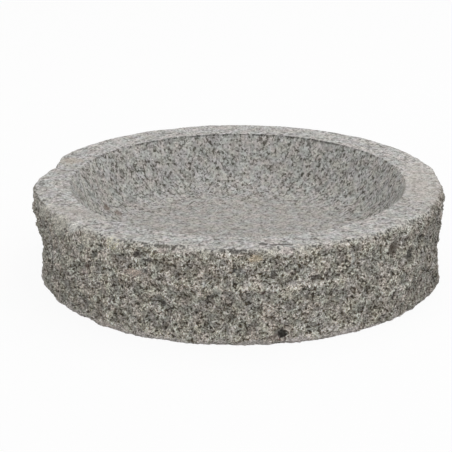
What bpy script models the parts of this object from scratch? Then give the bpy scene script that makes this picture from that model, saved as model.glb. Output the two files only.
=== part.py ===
"""Round granite water trough, carved from one block.

The rim and the underside are sawn flat, the side is split to a scribed circle, and a shallow bowl
is turned out of the top. Metres, +Z up, with the origin at the centre of the sawn underside.
Angles run anticlockwise from +X, and -Y is the front.
"""

import itertools
import math

import bmesh
import bpy
import numpy as np

MM = 0.001

# The block
OUTER_DIAMETER = 400 * MM
HEIGHT = 92 * MM

# The turned bowl
RIM_WIDTH = 35 * MM
BOWL_DEPTH = 58 * MM
COVE_RADIUS = 44 * MM
MOUTH_ROUND = 0.8 * MM
WALL_SLOPE = math.radians(62)
FLOOR_EDGE_SLOPE = math.radians(3)
MOUTH_LAST_SLOPE = math.radians(14)
CUT_OVERRUN = 8 * MM

# The ridge left round the side where the splits from the two edges meet. Each entry gives an
# angle in degrees, the height of the crest there as a share of the block's height, and how
# strong the ridge is there, from 0 to 1.
RIDGE_SHARES = (
    (-170, 0.30, 0.5),
    (-140, 0.52, 0.3),
    (-115, 0.64, 0.8),
    (-90, 0.62, 1.0),
    (-60, 0.60, 0.9),
    (-38, 0.52, 0.6),
    (-10, 0.22, 1.0),
    (20, 0.34, 0.6),
    (60, 0.52, 0.8),
    (100, 0.46, 0.5),
    (145, 0.55, 0.9),
)
RIDGE_PROUD = 4.0 * MM
RIDGE_FALL_ABOVE = 8 * MM
RIDGE_FALL_BELOW = 16 * MM
RIDGE_SUNK_SHARE = 0.25
RIDGE_EASING_POWER = 33

# Broad spalls, where a thick flake came away: angle in degrees, height of the middle as a share
# of the block's height, then half the length and the depth as shares of the outer diameter, and
# half the height as a share of the block's height. One with a depth below zero stands proud.
SPALL_SHARES = (
    (-177, 0.38, 0.165, 0.030, 0.46),
    (-158, 0.02, 0.110, 0.015, 0.34),
    (-156, 0.56, 0.075, 0.011, 0.34),
    (-138, 0.04, 0.110, 0.007, 0.34),
    (-104, 0.30, 0.120, 0.007, 0.26),
    (-66, 0.82, 0.090, 0.005, 0.20),
    (-124, 0.97, 0.040, -0.009, 0.18),
    (-75, 0.97, 0.030, -0.008, 0.16),
    (-54, 0.97, 0.040, -0.009, 0.18),
    (-33, 0.97, 0.080, -0.008, 0.20),
    (-12, 0.96, 0.140, -0.004, 0.26),
    (-4, 0.42, 0.130, 0.022, 0.48),
    (38, 0.66, 0.100, 0.009, 0.30),
    (82, 0.26, 0.130, 0.010, 0.28),
    (126, 0.62, 0.110, 0.009, 0.28),
)
SPALL_LIP_POWER = 0.8

# Relief of the split face between its large features. The face stands proud of the scribed
# circles, and both edges are struck true to them.
FACE_PROUD = 2.0 * MM
SWELL_PITCH = 88 * MM
SWELL_DEPTH = 1.8 * MM
SCOOP_PITCH = 31 * MM
SCOOP_DEPTH = 4.4 * MM
SCOOP_MIDDLE_SHARE = 0.52
ROUGH_PITCH = 13 * MM
ROUGH_DEPTH = 1.6 * MM
TRUE_BAND = 7 * MM
TRUE_SHARE = 0.3

# Chips out of the rim's arris: angle in degrees, half the length and the set-back as shares of
# the outer diameter, and the drop as a share of the block's height.
CHIP_SHARES = (
    (-163, 0.040, 0.002, 0.06),
    (-146, 0.040, 0.003, 0.06),
    (-105, 0.022, 0.014, 0.06),
    (-80, 0.016, 0.006, 0.05),
    (54, 0.030, 0.004, 0.07),
    (112, 0.040, 0.005, 0.06),
)
NIBBLE_PITCH = 17 * MM
NIBBLE_DEPTH = 0.9 * MM
NIBBLE_DROP = 1.4 * MM
NIBBLE_MEAN_SHARE = 0.6

# The arris round the underside
FOOT_SETBACK = 2 * MM
FOOT_RISE = 10 * MM

# The corner broken out of the rim
BREAK_ANGLE = math.radians(166)
BREAK_DEPTH = 10.0 * MM
BREAK_SHORT_REACH = 34 * MM
BREAK_LONG_REACH = 52 * MM
BREAK_DROP = 38 * MM

# Facets
COLUMNS = 192
LOWER_ROWS = 6
UPPER_ROWS = 6
TOP_ROW = LOWER_ROWS + UPPER_ROWS + 2
COLUMN_SHIFT_SHARE = 0.3
BOWL_STEPS = 96
FLOOR_RINGS = 6
COVE_RINGS = 8
WALL_RINGS = 2
MOUTH_RINGS = 3
MERGE_DISTANCE = 0.01 * MM
SMOOTH_ANGLE = math.radians(28)

# The lattice behind the relief
LATTICE_ROWS = 256
LATTICE_SEED = 41
NOISE_GAIN_FACTOR = 1.7

GRANITE_COLOUR = (0.36, 0.35, 0.32, 1.0)
GRANITE_ROUGHNESS = 0.85


def lattice_tables():
    """Repeatable tables for the lattice's cells: a shuffled order, unit slopes and centres."""
    source = np.random.default_rng(LATTICE_SEED)
    order = source.permutation(LATTICE_ROWS)
    slopes = source.normal(size=(LATTICE_ROWS, 3))
    slopes /= np.linalg.norm(slopes, axis=1, keepdims=True)
    return order, slopes, source.random((LATTICE_ROWS, 3))


SHUFFLE, SLOPES, CENTRES = lattice_tables()


def lattice_index(cell):
    """The table entry of each whole-number cell."""
    index = SHUFFLE[cell[:, 0] % LATTICE_ROWS]
    index = SHUFFLE[(index + cell[:, 1]) % LATTICE_ROWS]
    return SHUFFLE[(index + cell[:, 2]) % LATTICE_ROWS]


def noise(points, pitch):
    """Smooth relief from about -1 to 1, with a hump or a hollow for each pitch."""
    place = points / pitch
    cell = np.floor(place).astype(int)
    inside = place - cell
    fade = inside**3 * (inside * (inside * 6 - 15) + 10)
    total = np.zeros(len(points))
    for corner in itertools.product((0, 1), repeat=3):
        weight = np.where(corner, fade, 1 - fade).prod(axis=1)
        slope = SLOPES[lattice_index(cell + corner)]
        total += weight * ((inside - corner) * slope).sum(axis=1)
    return NOISE_GAIN_FACTOR * total


def scoops(points, pitch):
    """Distance in pitches to the nearest scattered centre: hollows that meet in sharp ridges."""
    place = points / pitch
    cell = np.floor(place).astype(int)
    nearest = np.full(len(points), np.inf)
    for step in itertools.product((-1, 0, 1), repeat=3):
        centre = cell + step + CENTRES[lattice_index(cell + step)]
        nearest = np.minimum(nearest, np.linalg.norm(place - centre, axis=1))
    return nearest


def on_drum(angle, height):
    """Points on the plain drum that the block is split to."""
    radius = OUTER_DIAMETER / 2
    return np.stack([radius * np.cos(angle), radius * np.sin(angle), height], axis=1)


def arc_from(angle, middle):
    """Length round the drum from one angle to each other angle, by the shorter way."""
    turn = (angle - middle + math.pi) % (2 * math.pi) - math.pi
    return turn * OUTER_DIAMETER / 2


def ridge_course(angle):
    """Height and strength of the ridge, eased from one listed angle to the next."""
    degrees, crest, strength = np.array(RIDGE_SHARES).T
    near = np.exp(RIDGE_EASING_POWER * (np.cos(angle[:, None] - np.radians(degrees)) - 1))
    near /= near.sum(axis=1, keepdims=True)
    return HEIGHT * (near * crest).sum(axis=1), (near * strength).sum(axis=1)


def ridge_relief(angle, height):
    """The ridge, a ledge with a sharp crest, a short fall above it and a long one below."""
    crest, strength = ridge_course(angle)
    above = height - crest
    fall = np.where(above > 0, above / RIDGE_FALL_ABOVE, -above / RIDGE_FALL_BELOW)
    return RIDGE_PROUD * strength * (np.exp(-fall) - RIDGE_SUNK_SHARE)


def spall_relief(angle, height):
    """The broad spalls, each a shallow oval hollow."""
    relief = np.zeros(len(angle))
    for degrees, middle, half_length, depth, half_height in SPALL_SHARES:
        along = arc_from(angle, math.radians(degrees)) / (half_length * OUTER_DIAMETER)
        up = (height / HEIGHT - middle) / half_height
        hollow = np.clip(1 - along**2 - up**2, 0, 1) ** SPALL_LIP_POWER
        relief -= depth * OUTER_DIAMETER * hollow
    return relief


def split_relief(points, height):
    """Swells, scoops where flakes came away and rough grain, all less near both edges."""
    from_edge = np.minimum(height, HEIGHT - height)
    inner = 1 - np.exp(-from_edge / TRUE_BAND)
    swell = SWELL_DEPTH * noise(points, SWELL_PITCH)
    scooped = SCOOP_DEPTH * (scoops(points, SCOOP_PITCH) - SCOOP_MIDDLE_SHARE)
    uneven = swell + scooped + ROUGH_DEPTH * noise(points, ROUGH_PITCH)
    return FACE_PROUD * inner + (TRUE_SHARE + (1 - TRUE_SHARE) * inner) * uneven


def break_relief(angle, height):
    """The broken corner: two facets that meet in a notch and die out down the side."""
    along = arc_from(angle, BREAK_ANGLE)
    reach = np.where(along < 0, BREAK_SHORT_REACH, BREAK_LONG_REACH)
    down = np.clip(1 - (HEIGHT - height) / BREAK_DROP, 0, 1)
    return -BREAK_DEPTH * np.clip(1 - np.abs(along) / reach, 0, 1) * down


def arris_chips(angle):
    """How far the chips set back the rim's arris and drop the edge under it, at each angle."""
    edge = on_drum(angle, np.full(len(angle), HEIGHT))
    nibble = np.clip(NIBBLE_MEAN_SHARE + noise(edge, NIBBLE_PITCH), 0, 1)
    setback = NIBBLE_DEPTH * nibble
    drop = NIBBLE_DROP * (1 + nibble)
    for degrees, half_length, chip_setback, chip_drop in CHIP_SHARES:
        along = arc_from(angle, math.radians(degrees)) / (half_length * OUTER_DIAMETER)
        chip = np.clip(1 - along**2, 0, 1)
        setback += chip_setback * OUTER_DIAMETER * chip
        drop += chip_drop * HEIGHT * chip
    return setback, drop


def row_height(angle, row, drop):
    """Height of each row of the side, with a row along the crest and one under each arris."""
    crest = ridge_course(angle)[0]
    lower = FOOT_RISE + (crest - FOOT_RISE) * (row - 1) / LOWER_ROWS
    upper = crest + (HEIGHT - drop - crest) * (row - 1 - LOWER_ROWS) / UPPER_ROWS
    height = np.where(row <= LOWER_ROWS + 1, lower, upper)
    return np.select([row == 0, row == TOP_ROW], [0.0, HEIGHT], height)


def side_points(angle, row):
    """Where each point of the side lies, given its angle and its row."""
    setback, drop = arris_chips(angle)
    height = row_height(angle, row, drop)
    plain = on_drum(angle, height)
    relief = ridge_relief(angle, height) + spall_relief(angle, height)
    relief += split_relief(plain, height) + break_relief(angle, height)
    relief -= np.select([row == 0, row == TOP_ROW], [FOOT_SETBACK, setback], 0)
    radius = OUTER_DIAMETER / 2 + relief
    return np.stack([radius * np.cos(angle), radius * np.sin(angle), height], axis=1)


def uneven_columns(drum, row):
    """Angle of each point of the plain drum, with every second row shifted by half a column."""
    column = 2 * math.pi / COLUMNS
    shift = COLUMN_SHIFT_SHARE * noise(drum, ROUGH_PITCH) + row % 2 / 2
    return np.arctan2(drum[:, 1], drum[:, 0]) + column * shift


def split_block():
    """The block: a drum with rings of points round its side, pushed in and out by the splitting."""
    shape = bmesh.new()
    bmesh.ops.create_cone(
        shape,
        cap_ends=True,
        segments=COLUMNS,
        radius1=OUTER_DIAMETER / 2,
        radius2=OUTER_DIAMETER / 2,
        depth=HEIGHT,
    )
    upright = [e for e in shape.edges if e.verts[0].co.z * e.verts[1].co.z < 0]
    bmesh.ops.subdivide_edges(shape, edges=upright, cuts=TOP_ROW - 1, use_grid_fill=True)
    drum = np.array([vertex.co for vertex in shape.verts])
    row = np.rint((drum[:, 2] + HEIGHT / 2) / HEIGHT * TOP_ROW).astype(int)
    places = side_points(uneven_columns(drum, row), row)
    for vertex, place in zip(shape.verts, places):
        vertex.co = place
    side = [face for face in shape.faces if len(face.verts) == 4]
    bmesh.ops.triangulate(shape, faces=side, quad_method="SHORT_EDGE")
    return finished(shape, "granite_trough")


def bowl_profile():
    """The bowl from its centre to above the rim: floor arc, cove, straight wall and mouth round.

    Each stretch starts in the direction in which the last one ends. The floor's arc reaches
    FLOOR_EDGE_SLOPE where the cove begins, at the radius that brings the wall to the mouth.
    """
    mouth = OUTER_DIAMETER / 2 - RIM_WIDTH
    cove_run = COVE_RADIUS * (math.sin(WALL_SLOPE) - math.sin(FLOOR_EDGE_SLOPE))
    cove_rise = COVE_RADIUS * (math.cos(FLOOR_EDGE_SLOPE) - math.cos(WALL_SLOPE))
    floor_lift = math.tan(FLOOR_EDGE_SLOPE / 2)
    wall_run = (BOWL_DEPTH - cove_rise) / math.tan(WALL_SLOPE)
    floor_run = (mouth - cove_run - wall_run) / (1 - floor_lift / math.tan(WALL_SLOPE))
    lowest = HEIGHT - BOWL_DEPTH
    points = []

    floor_radius = floor_run / math.sin(FLOOR_EDGE_SLOPE)
    for ring in range(FLOOR_RINGS + 1):
        slope = FLOOR_EDGE_SLOPE * ring / FLOOR_RINGS
        points.append((floor_radius * math.sin(slope), lowest + floor_radius * (1 - math.cos(slope))))

    cove_x = floor_run - COVE_RADIUS * math.sin(FLOOR_EDGE_SLOPE)
    cove_z = lowest + floor_run * floor_lift + COVE_RADIUS * math.cos(FLOOR_EDGE_SLOPE)
    for ring in range(1, COVE_RINGS + 1):
        slope = FLOOR_EDGE_SLOPE + (WALL_SLOPE - FLOOR_EDGE_SLOPE) * ring / COVE_RINGS
        points.append((cove_x + COVE_RADIUS * math.sin(slope), cove_z - COVE_RADIUS * math.cos(slope)))

    round_x = mouth + MOUTH_ROUND * math.tan(WALL_SLOPE / 2)
    round_z = HEIGHT - MOUTH_ROUND
    wall_foot = points[-1]
    wall_top = (
        round_x - MOUTH_ROUND * math.sin(WALL_SLOPE),
        round_z + MOUTH_ROUND * math.cos(WALL_SLOPE),
    )
    for ring in range(1, WALL_RINGS + 1):
        share = ring / WALL_RINGS
        points.append(tuple(a + (b - a) * share for a, b in zip(wall_foot, wall_top)))

    for ring in range(1, MOUTH_RINGS + 1):
        slope = WALL_SLOPE + (MOUTH_LAST_SLOPE - WALL_SLOPE) * ring / MOUTH_RINGS
        points.append((round_x - MOUTH_ROUND * math.sin(slope), round_z + MOUTH_ROUND * math.cos(slope)))

    end_x, end_z = points[-1]
    points.append((end_x + CUT_OVERRUN / math.tan(MOUTH_LAST_SLOPE), end_z + CUT_OVERRUN))
    points.append((0.0, end_z + CUT_OVERRUN))
    return points


def bowl_cutter():
    """The turned bowl as a solid, the profile spun round the axis, which the block loses."""
    shape = bmesh.new()
    profile = [shape.verts.new((x, 0.0, z)) for x, z in bowl_profile()]
    edges = [shape.edges.new(pair) for pair in itertools.pairwise(profile)]
    bmesh.ops.spin(
        shape,
        geom=profile + edges,
        axis=(0, 0, 1),
        cent=(0, 0, 0),
        angle=2 * math.pi,
        steps=BOWL_STEPS,
        use_merge=True,
    )
    bmesh.ops.remove_doubles(shape, verts=shape.verts, dist=MERGE_DISTANCE)
    bmesh.ops.recalc_face_normals(shape, faces=shape.faces)
    cutter = finished(shape, "bowl_cutter")
    cutter.hide_render = True
    cutter.display_type = "WIRE"
    return cutter


def granite():
    """Grey granite with a warm cast."""
    material = bpy.data.materials.new("granite")
    material.use_nodes = True
    shader = material.node_tree.nodes["Principled BSDF"]
    shader.inputs["Base Color"].default_value = GRANITE_COLOUR
    shader.inputs["Roughness"].default_value = GRANITE_ROUGHNESS
    shader.inputs["Metallic"].default_value = 0.0
    return material


def finished(shape, name):
    """The bmesh as a smooth-shaded object with its arrises left sharp."""
    mesh = bpy.data.meshes.new(name)
    shape.to_mesh(mesh)
    shape.free()
    mesh.shade_smooth()
    mesh.set_sharp_from_angle(angle=SMOOTH_ANGLE)
    made = bpy.data.objects.new(name, mesh)
    bpy.context.scene.collection.objects.link(made)
    return made


def main():
    """Builds the trough."""
    for old in list(bpy.data.objects):
        bpy.data.objects.remove(old)
    trough = split_block()
    trough.data.materials.append(granite())
    turned = trough.modifiers.new("turned_bowl", "BOOLEAN")
    turned.operation = "DIFFERENCE"
    turned.solver = "EXACT"
    turned.object = bowl_cutter()


main()
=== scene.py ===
"""A round granite water trough as a finished stone, with the light and camera to see it by.

The stone is one closed surface: a sawn underside, a side split by hand, a sawn rim and a turned bowl.
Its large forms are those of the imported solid. Finer breaks, chips and grain are worked in here.
Metres, +Z up, with the origin at the centre of the underside. Angles run anticlockwise from +X,
and -Y is the front.
"""

import itertools
import logging
import math
from dataclasses import dataclass, field
from enum import Enum

import bpy
import numpy as np
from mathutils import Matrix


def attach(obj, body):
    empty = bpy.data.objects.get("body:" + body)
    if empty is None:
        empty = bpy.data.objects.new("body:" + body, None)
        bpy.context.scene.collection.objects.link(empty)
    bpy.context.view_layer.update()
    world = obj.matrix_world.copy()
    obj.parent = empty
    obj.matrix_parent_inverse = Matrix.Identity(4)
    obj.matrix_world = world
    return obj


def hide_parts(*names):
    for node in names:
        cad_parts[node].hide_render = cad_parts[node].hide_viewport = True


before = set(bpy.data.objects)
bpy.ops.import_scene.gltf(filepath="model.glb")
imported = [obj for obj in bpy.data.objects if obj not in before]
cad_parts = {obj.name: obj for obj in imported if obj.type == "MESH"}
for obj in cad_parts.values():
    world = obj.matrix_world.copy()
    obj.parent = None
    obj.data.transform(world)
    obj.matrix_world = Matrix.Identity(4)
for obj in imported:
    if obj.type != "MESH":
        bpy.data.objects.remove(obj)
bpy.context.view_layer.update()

log = logging.getLogger("trough")

MM = 0.001
FULL_TURN = 2 * math.pi


# Relief


def between(ends: tuple[float, float], share: float | np.ndarray) -> float | np.ndarray:
    """The value at a share of the way from the first end to the second."""
    return ends[0] + (ends[1] - ends[0]) * share


def fading(distance: float | np.ndarray) -> float | np.ndarray:
    """1 at no distance, falling evenly to 0 at a distance of 1."""
    return np.clip(1 - distance, 0, 1)


class Lattice:
    """Repeatable slopes and centres for the cells of the relief, the same as the solid's."""

    def __init__(self, seed: int = 41, count: int = 256, gain: float = 1.7) -> None:
        """Fills the tables.

        Args:
            seed: Start of the random numbers.
            count: Entries in each table.
            gain: What the smooth noise is multiplied by to reach about -1 to 1.
        """
        source = np.random.default_rng(seed)
        self.count = count
        self.gain = gain
        self.shuffle = source.permutation(count)
        self.slopes = source.normal(size=(count, 3))
        self.slopes /= np.linalg.norm(self.slopes, axis=1, keepdims=True)
        self.centres = source.random((count, 3))

    def entry(self, cell: np.ndarray) -> np.ndarray:
        """The table entry of each cell.

        Args:
            cell: Whole numbers of the cells, shape (..., 3).

        Returns:
            The entries, shape (...).
        """
        index = self.shuffle[cell[..., 0] % self.count]
        index = self.shuffle[(index + cell[..., 1]) % self.count]
        return self.shuffle[(index + cell[..., 2]) % self.count]

    def noise(self, points: np.ndarray, pitch: float) -> np.ndarray:
        """Smooth relief from about -1 to 1, with a hump or a hollow for each pitch.

        Each corner of a point's cell adds its own slope times the way to the point, faded by the
        fifth-power ease of the point's place in the cell.

        Args:
            points: Places in space, shape (..., 3).
            pitch: Size of a cell in metres.

        Returns:
            One height for each point.
        """
        place = points / pitch
        cell = np.floor(place).astype(int)
        inside = place - cell
        fade = inside**3 * (inside * (inside * 6 - 15) + 10)
        total = np.zeros(points.shape[:-1])
        for corner in itertools.product((0, 1), repeat=3):
            weight = np.where(corner, fade, 1 - fade).prod(axis=-1)
            slope = self.slopes[self.entry(cell + corner)]
            total += weight * ((inside - corner) * slope).sum(axis=-1)
        return self.gain * total

    def nearest(self, points: np.ndarray, pitch: float) -> tuple[np.ndarray, np.ndarray]:
        """The way from the nearest scattered centre to each point, in pitches, and its table entry.

        Args:
            points: Places in space, shape (..., 3).
            pitch: Mean distance between centres in metres.

        Returns:
            The ways, shape (..., 3), and the entries, shape (...).
        """
        place = points / pitch
        cell = np.floor(place).astype(int)
        best = np.full(points.shape[:-1], np.inf)
        way = np.zeros(points.shape)
        owner = np.zeros(points.shape[:-1], int)
        for step in itertools.product((-1, 0, 1), repeat=3):
            entry = self.entry(cell + step)
            offset = place - (cell + step + self.centres[entry])
            far = np.linalg.norm(offset, axis=-1)
            closer = far < best
            best = np.where(closer, far, best)
            way = np.where(closer[..., None], offset, way)
            owner = np.where(closer, entry, owner)
        return way, owner

    def scoops(self, points: np.ndarray, pitch: float) -> np.ndarray:
        """Distance in pitches to the nearest centre: hollows that meet in sharp ridges."""
        return np.linalg.norm(self.nearest(points, pitch)[0], axis=-1)

    def facets(self, points: np.ndarray, pitch: float) -> np.ndarray:
        """Crystal breaks: each cell is a plane of its own tilt and level, from about -1 to 1.

        Args:
            points: Places in space, shape (..., 3).
            pitch: Mean distance between crystals in metres.

        Returns:
            One height for each point.
        """
        way, owner = self.nearest(points, pitch)
        tilt = self.slopes[owner]
        level = self.centres[owner][..., 0] - 0.5
        return (way * tilt).sum(axis=-1) + level


LATTICE = Lattice()


# Sizes of the stone


@dataclass(frozen=True)
class Block:
    """The sawn slab and the circle scribed on it."""

    diameter: float = 400 * MM
    height: float = 92 * MM
    foot_setback: float = 2.0 * MM
    foot_rise: float = 10 * MM

    @property
    def radius(self) -> float:
        """Radius of the scribed circle."""
        return self.diameter / 2

    def arc_from(self, angle: np.ndarray, middle: float) -> np.ndarray:
        """Length round the drum from one angle to each other angle, by the shorter way."""
        turn = (angle - middle + math.pi) % FULL_TURN - math.pi
        return turn * self.radius

    def on_drum(self, angle: np.ndarray, height: np.ndarray) -> np.ndarray:
        """Points on the plain drum that the block is split to."""
        return ring_point(self.radius, angle, height)


@dataclass(frozen=True)
class Spall:
    """A broad oval flake scar. One with a depth below zero stands proud.

    Angle in degrees, middle as a share of the height, half the length and the depth as shares of
    the diameter, and half the height as a share of the height.
    """

    angle: float
    middle: float
    half_length: float
    depth: float
    half_height: float


@dataclass(frozen=True)
class Chip:
    """A chip out of the rim's arris.

    Angle in degrees, half the length and the set-back as shares of the diameter, and the drop as a
    share of the height.
    """

    angle: float
    half_length: float
    setback: float
    drop: float


@dataclass(frozen=True)
class ChipRow:
    """Many small chips along an arris, each an oval hollow centred on the edge.

    Half lengths, half heights and depths run from the first number to the second, and most are
    near the first.
    """

    seed: int
    count: int
    half_length: tuple[float, float]
    half_height: tuple[float, float]
    depth: tuple[float, float]
    rarity: float = 2.5
    flattest: float = 0.6
    fall_power: float = 0.7

    def relief(self, block: Block, angle: np.ndarray, from_edge: np.ndarray) -> np.ndarray:
        """The deepest of the chips at each point, each depth * (1 - along^2 - up^2)^power.

        Args:
            block: The block it is on.
            angle: Angle of each point.
            from_edge: Distance of each point from the arris, down or up the side.

        Returns:
            How far each point stands out, which is zero or less.
        """
        source = np.random.default_rng(self.seed)
        middle = source.uniform(0, FULL_TURN, self.count)
        size = source.random(self.count) ** self.rarity
        flat = source.uniform(self.flattest, 1.0, (2, self.count))
        relief = np.zeros(angle.shape)
        for turn, share, low, thin in zip(middle, size, *flat):
            along = block.arc_from(angle, turn) / between(self.half_length, share)
            up = from_edge / (between(self.half_height, share) * low)
            depth = between(self.depth, share) * thin
            relief = np.minimum(relief, -depth * fading(along**2 + up**2) ** self.fall_power)
        return relief


@dataclass(frozen=True)
class Ridge:
    """The ridge round the side where the splits from the two edges meet.

    Each course entry gives an angle in degrees, the crest's height as a share of the block's
    height, and the ridge's strength there.
    """

    course: tuple[tuple[float, float, float], ...] = (
        (-170, 0.30, 0.5),
        (-140, 0.52, 0.3),
        (-115, 0.64, 0.8),
        (-90, 0.62, 1.0),
        (-60, 0.60, 0.9),
        (-38, 0.52, 0.6),
        (-10, 0.22, 1.0),
        (20, 0.34, 0.6),
        (60, 0.52, 0.8),
        (100, 0.46, 0.5),
        (145, 0.55, 0.9),
    )
    proud: float = 4.0 * MM
    fall_above: float = 8 * MM
    fall_below: float = 16 * MM
    sunk_share: float = 0.25
    easing: float = 33

    def relief(self, block: Block, angle: np.ndarray, height: np.ndarray) -> np.ndarray:
        """The ridge, sharp at its crest, with a short fall above and a long one below.

        The crest's height and strength at an angle are means of the listed ones, weighted by
        exp(easing * (cos(difference) - 1)). The relief falls off exponentially from the crest.

        Args:
            block: The block it is on.
            angle: Angle of each point.
            height: Height of each point.

        Returns:
            How far each point stands out.
        """
        degrees, crest, strength = np.array(self.course).T
        near = np.exp(self.easing * (np.cos(angle[..., None] - np.radians(degrees)) - 1))
        near /= near.sum(axis=-1, keepdims=True)
        above = height - block.height * (near * crest).sum(axis=-1)
        fall = np.where(above > 0, above / self.fall_above, -above / self.fall_below)
        return self.proud * (near * strength).sum(axis=-1) * (np.exp(-fall) - self.sunk_share)


@dataclass(frozen=True)
class BrokenCorner:
    """The corner broken out of the rim: two facets that meet in a notch."""

    angle: float = math.radians(166)
    depth: float = 10.0 * MM
    short_reach: float = 34 * MM
    long_reach: float = 52 * MM
    drop: float = 38 * MM

    def relief(self, block: Block, angle: np.ndarray, height: np.ndarray) -> np.ndarray:
        """The broken corner. Its depth falls off evenly along both facets and down the side.

        Args:
            block: The block it is on.
            angle: Angle of each point.
            height: Height of each point.

        Returns:
            How far each point stands out, which is zero or less.
        """
        along = block.arc_from(angle, self.angle)
        reach = np.where(along < 0, self.short_reach, self.long_reach)
        down = fading((block.height - height) / self.drop)
        return -self.depth * fading(np.abs(along) / reach) * down


@dataclass(frozen=True)
class Breaks:
    """Relief of the split face between its large features, coarse to fine."""

    face_proud: float = 2.0 * MM
    swell_pitch: float = 88 * MM
    swell: float = 1.8 * MM
    scoop_pitch: float = 31 * MM
    scoop: float = 4.4 * MM
    scoop_middle: float = 0.52
    rough_pitch: float = 13 * MM
    rough: float = 1.6 * MM
    true_band: float = 7 * MM
    true_share: float = 0.3
    flake_pitch: float = 9.5 * MM
    flake: float = 1.5 * MM
    lump_pitch: float = 5.2 * MM
    lump: float = 1.2 * MM
    crystal_pitch: float = 3.1 * MM
    crystal: float = 1.1 * MM
    grit_pitch: float = 2.3 * MM
    grit: float = 0.5 * MM

    def coarse(self, block: Block, points: np.ndarray, height: np.ndarray) -> np.ndarray:
        """Swells, scoops and rough grain as in the solid, all less near both edges.

        Args:
            block: The block it is on.
            points: Places on the plain drum, shape (..., 3).
            height: Height of each point.

        Returns:
            How far each point stands out.
        """
        inner = self.inner(block, height)
        uneven = self.swell * LATTICE.noise(points, self.swell_pitch)
        uneven += self.scoop * (LATTICE.scoops(points, self.scoop_pitch) - self.scoop_middle)
        uneven += self.rough * LATTICE.noise(points, self.rough_pitch)
        return self.face_proud * inner + between((self.true_share, 1), inner) * uneven

    def inner(self, block: Block, height: np.ndarray) -> np.ndarray:
        """0 at both edges, rising to 1 inside the face."""
        from_edge = np.minimum(height, block.height - height)
        return 1 - np.exp(-np.maximum(from_edge, 0) / self.true_band)

    def fine(self, points: np.ndarray) -> np.ndarray:
        """Small flakes, lumps, single broken crystals and grit.

        Args:
            points: Places on the plain drum, shape (..., 3).

        Returns:
            How far each point stands out.
        """
        relief = self.flake * (LATTICE.scoops(points, self.flake_pitch) - self.scoop_middle)
        relief += self.lump * LATTICE.facets(points, self.lump_pitch)
        relief += self.crystal * LATTICE.facets(points, self.crystal_pitch)
        return relief + self.grit * LATTICE.noise(points, self.grit_pitch)


@dataclass(frozen=True)
class Bowl:
    """The turned bowl: floor arc, cove, straight wall and mouth round.

    Each centre ring gives its count of points and its share of the innermost ring's radius.
    """

    rim_width: float = 35 * MM
    depth: float = 58 * MM
    cove_radius: float = 44 * MM
    mouth_round: float = 0.8 * MM
    wall_slope: float = math.radians(62)
    floor_edge_slope: float = math.radians(3)
    floor_rings: int = 10
    floor_start_share: float = 0.28
    cove_rings: int = 12
    wall_rings: int = 6
    wall_end_shares: tuple[float, ...] = (0.93, 0.965)
    mouth_rings: int = 5
    centre_rings: tuple[tuple[int, float], ...] = ((128, 0.6), (64, 0.3), (32, 0.12), (1, 0.0))
    wave_pitch: float = 46 * MM
    wave: float = 0.25 * MM
    wave_start: float = 12 * MM
    lip_start: float = 0.1 * MM
    lip_end: float = 1.6 * MM
    lip_turn: float = 0.25
    wall_start_share: float = 0.62
    wall_ease_share: float = 0.2

    def profile(self, block: Block) -> np.ndarray:
        """The bowl's section from the rim to near its centre.

        Arcs and a straight line, each starting in the direction in which the last one ends. The
        floor's arc reaches its edge slope where the cove begins.

        Args:
            block: The block it is turned in.

        Returns:
            Radius and height of each ring, shape (n, 2), from the rim inwards.
        """
        mouth = block.radius - self.rim_width
        edge, slope = self.floor_edge_slope, self.wall_slope
        cove_run = self.cove_radius * (math.sin(slope) - math.sin(edge))
        cove_rise = self.cove_radius * (math.cos(edge) - math.cos(slope))
        lift = math.tan(edge / 2)
        wall_run = (self.depth - cove_rise) / math.tan(slope)
        floor_run = (mouth - cove_run - wall_run) / (1 - lift / math.tan(slope))
        lowest = block.height - self.depth

        floor_radius = floor_run / math.sin(edge)
        turn = edge * np.linspace(self.floor_start_share, 1, self.floor_rings, endpoint=False)
        floor = self._arc(0, lowest + floor_radius, floor_radius, turn)

        cove_x = floor_run - self.cove_radius * math.sin(edge)
        cove_z = lowest + floor_run * lift + self.cove_radius * math.cos(edge)
        turn = np.linspace(edge, slope, self.cove_rings)
        cove = self._arc(cove_x, cove_z, self.cove_radius, turn)

        round_x = mouth + self.mouth_round * math.tan(slope / 2)
        turn = np.linspace(slope, 0, self.mouth_rings)
        lip = self._arc(round_x, block.height - self.mouth_round, -self.mouth_round, turn)
        share = np.linspace(0, 1, self.wall_rings + 2)[1:-1]
        share = np.append(share, self.wall_end_shares)[:, None]
        wall = cove[-1] + (lip[0] - cove[-1]) * share
        return np.concatenate([floor, cove, wall, lip])[::-1]

    @staticmethod
    def _arc(x: float, z: float, radius: float, turn: np.ndarray) -> np.ndarray:
        """Points on a circle: below its centre for a radius above zero, and above for one below."""
        return np.stack([x + radius * np.sin(turn), z - radius * np.cos(turn)], axis=1)

    def waved(self, points: np.ndarray, share: float = 1.0) -> np.ndarray:
        """The points, each raised by a share of the turning waves."""
        points[:, 2] += share * self.wave * LATTICE.noise(points, self.wave_pitch)
        return points


# Surface building


def ring_point(radius: float | np.ndarray, angle: np.ndarray, height: float | np.ndarray) -> np.ndarray:
    """Points at radius times (cos, sin) of the angle, and a height."""
    radius, angle, height = np.broadcast_arrays(radius, angle, height)
    return np.stack([radius * np.cos(angle), radius * np.sin(angle), height], axis=-1)


def round_angles(count: int) -> np.ndarray:
    """Even angles of a ring, the same ones for any count that is half of another."""
    return np.arange(count) * FULL_TURN / count


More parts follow.
